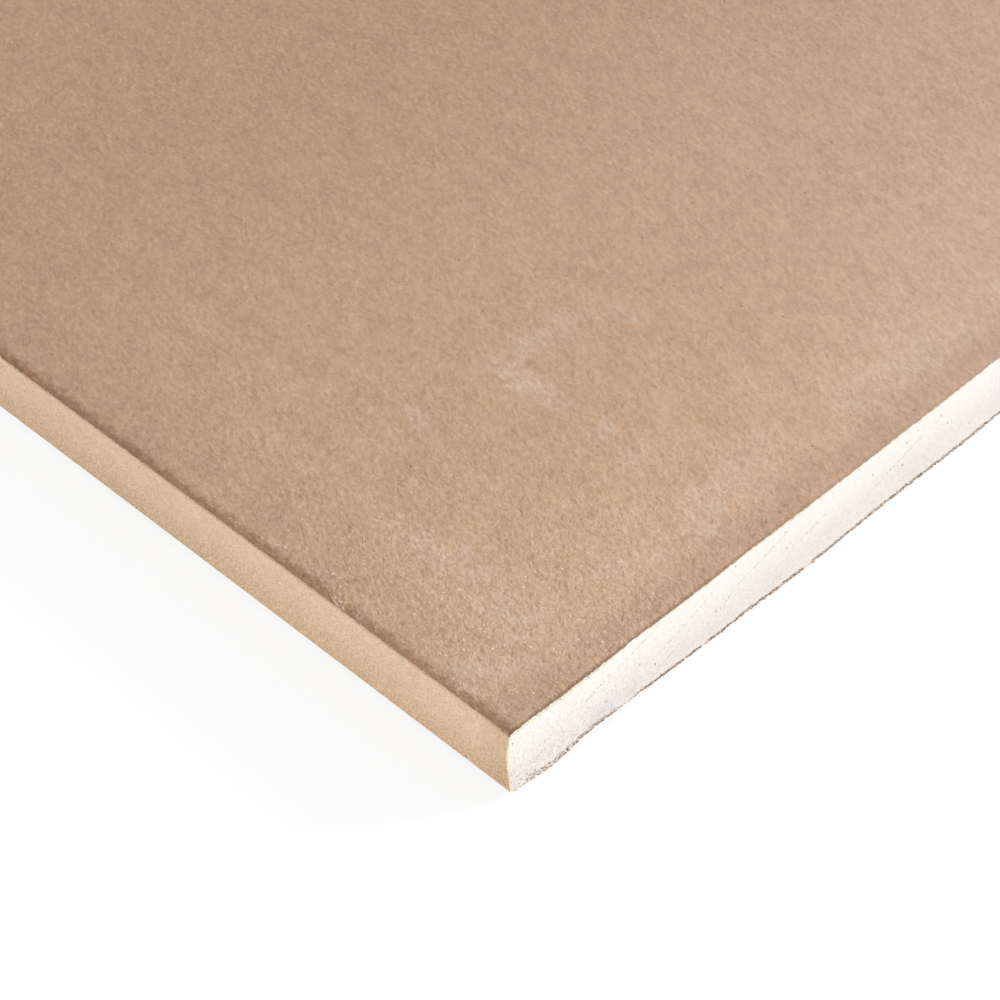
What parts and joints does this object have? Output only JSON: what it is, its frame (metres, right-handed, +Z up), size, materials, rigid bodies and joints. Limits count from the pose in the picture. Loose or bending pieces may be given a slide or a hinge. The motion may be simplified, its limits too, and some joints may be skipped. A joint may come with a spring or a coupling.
{
  "type": "drywall sheet",
  "caption": "Full gypsum wallboard sheet with paper-wrapped tapered long edges and bare sawn ends, lying with its brown back paper up.",
  "frame": {"origin": "on the floor under the middle of the sheet", "axes": "+X along the paper-bound long edges, +Y across the sheet, +Z up towards the back paper"},
  "size_m": [2.4, 1.2, 0.0125],
  "materials": {
    "gypsum": "chalky, porous set gypsum",
    "face_liner": "smooth light tan recycled paper",
    "back_liner": "rough, fibrous brown recycled paper"
  },
  "bodies": {
    "root": {"gypsum_core": "gypsum", "face_paper": "face_liner", "back_paper": "back_liner"}
  },
  "joints": []
}
